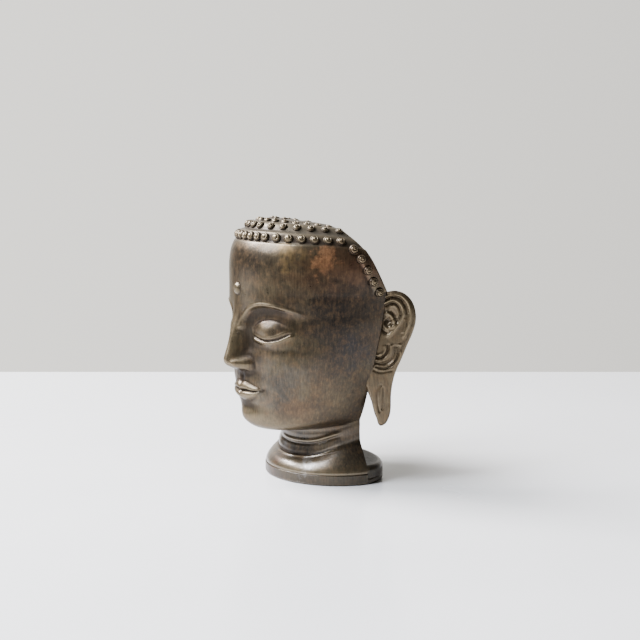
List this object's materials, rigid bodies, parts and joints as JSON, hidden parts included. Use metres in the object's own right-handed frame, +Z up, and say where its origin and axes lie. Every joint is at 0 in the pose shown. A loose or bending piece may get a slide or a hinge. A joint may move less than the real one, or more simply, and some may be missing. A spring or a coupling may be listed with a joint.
{
  "type": "brass buddha head",
  "caption": "Small half-round cast brass buddha head, cut flat and hollow behind, with snail-curl hair, long ears with slit lobes, a folded neck and a low oval foot that it stands on.",
  "frame": {"origin": "on the underside of the foot, at the table, in the plane where the neck is cut off behind and on the middle line of the face", "axes": "+Z up, -Y out of the face, +X towards the head's own left ear"},
  "size_m": [0.085, 0.0736, 0.1139],
  "materials": {
    "patinated_brass": "old brass with a dark brown patina, rubbed brighter on the ears, curls and foot, semi-gloss"
  },
  "bodies": {
    "root": {"buddha_head": "patinated_brass"}
  },
  "joints": []
}
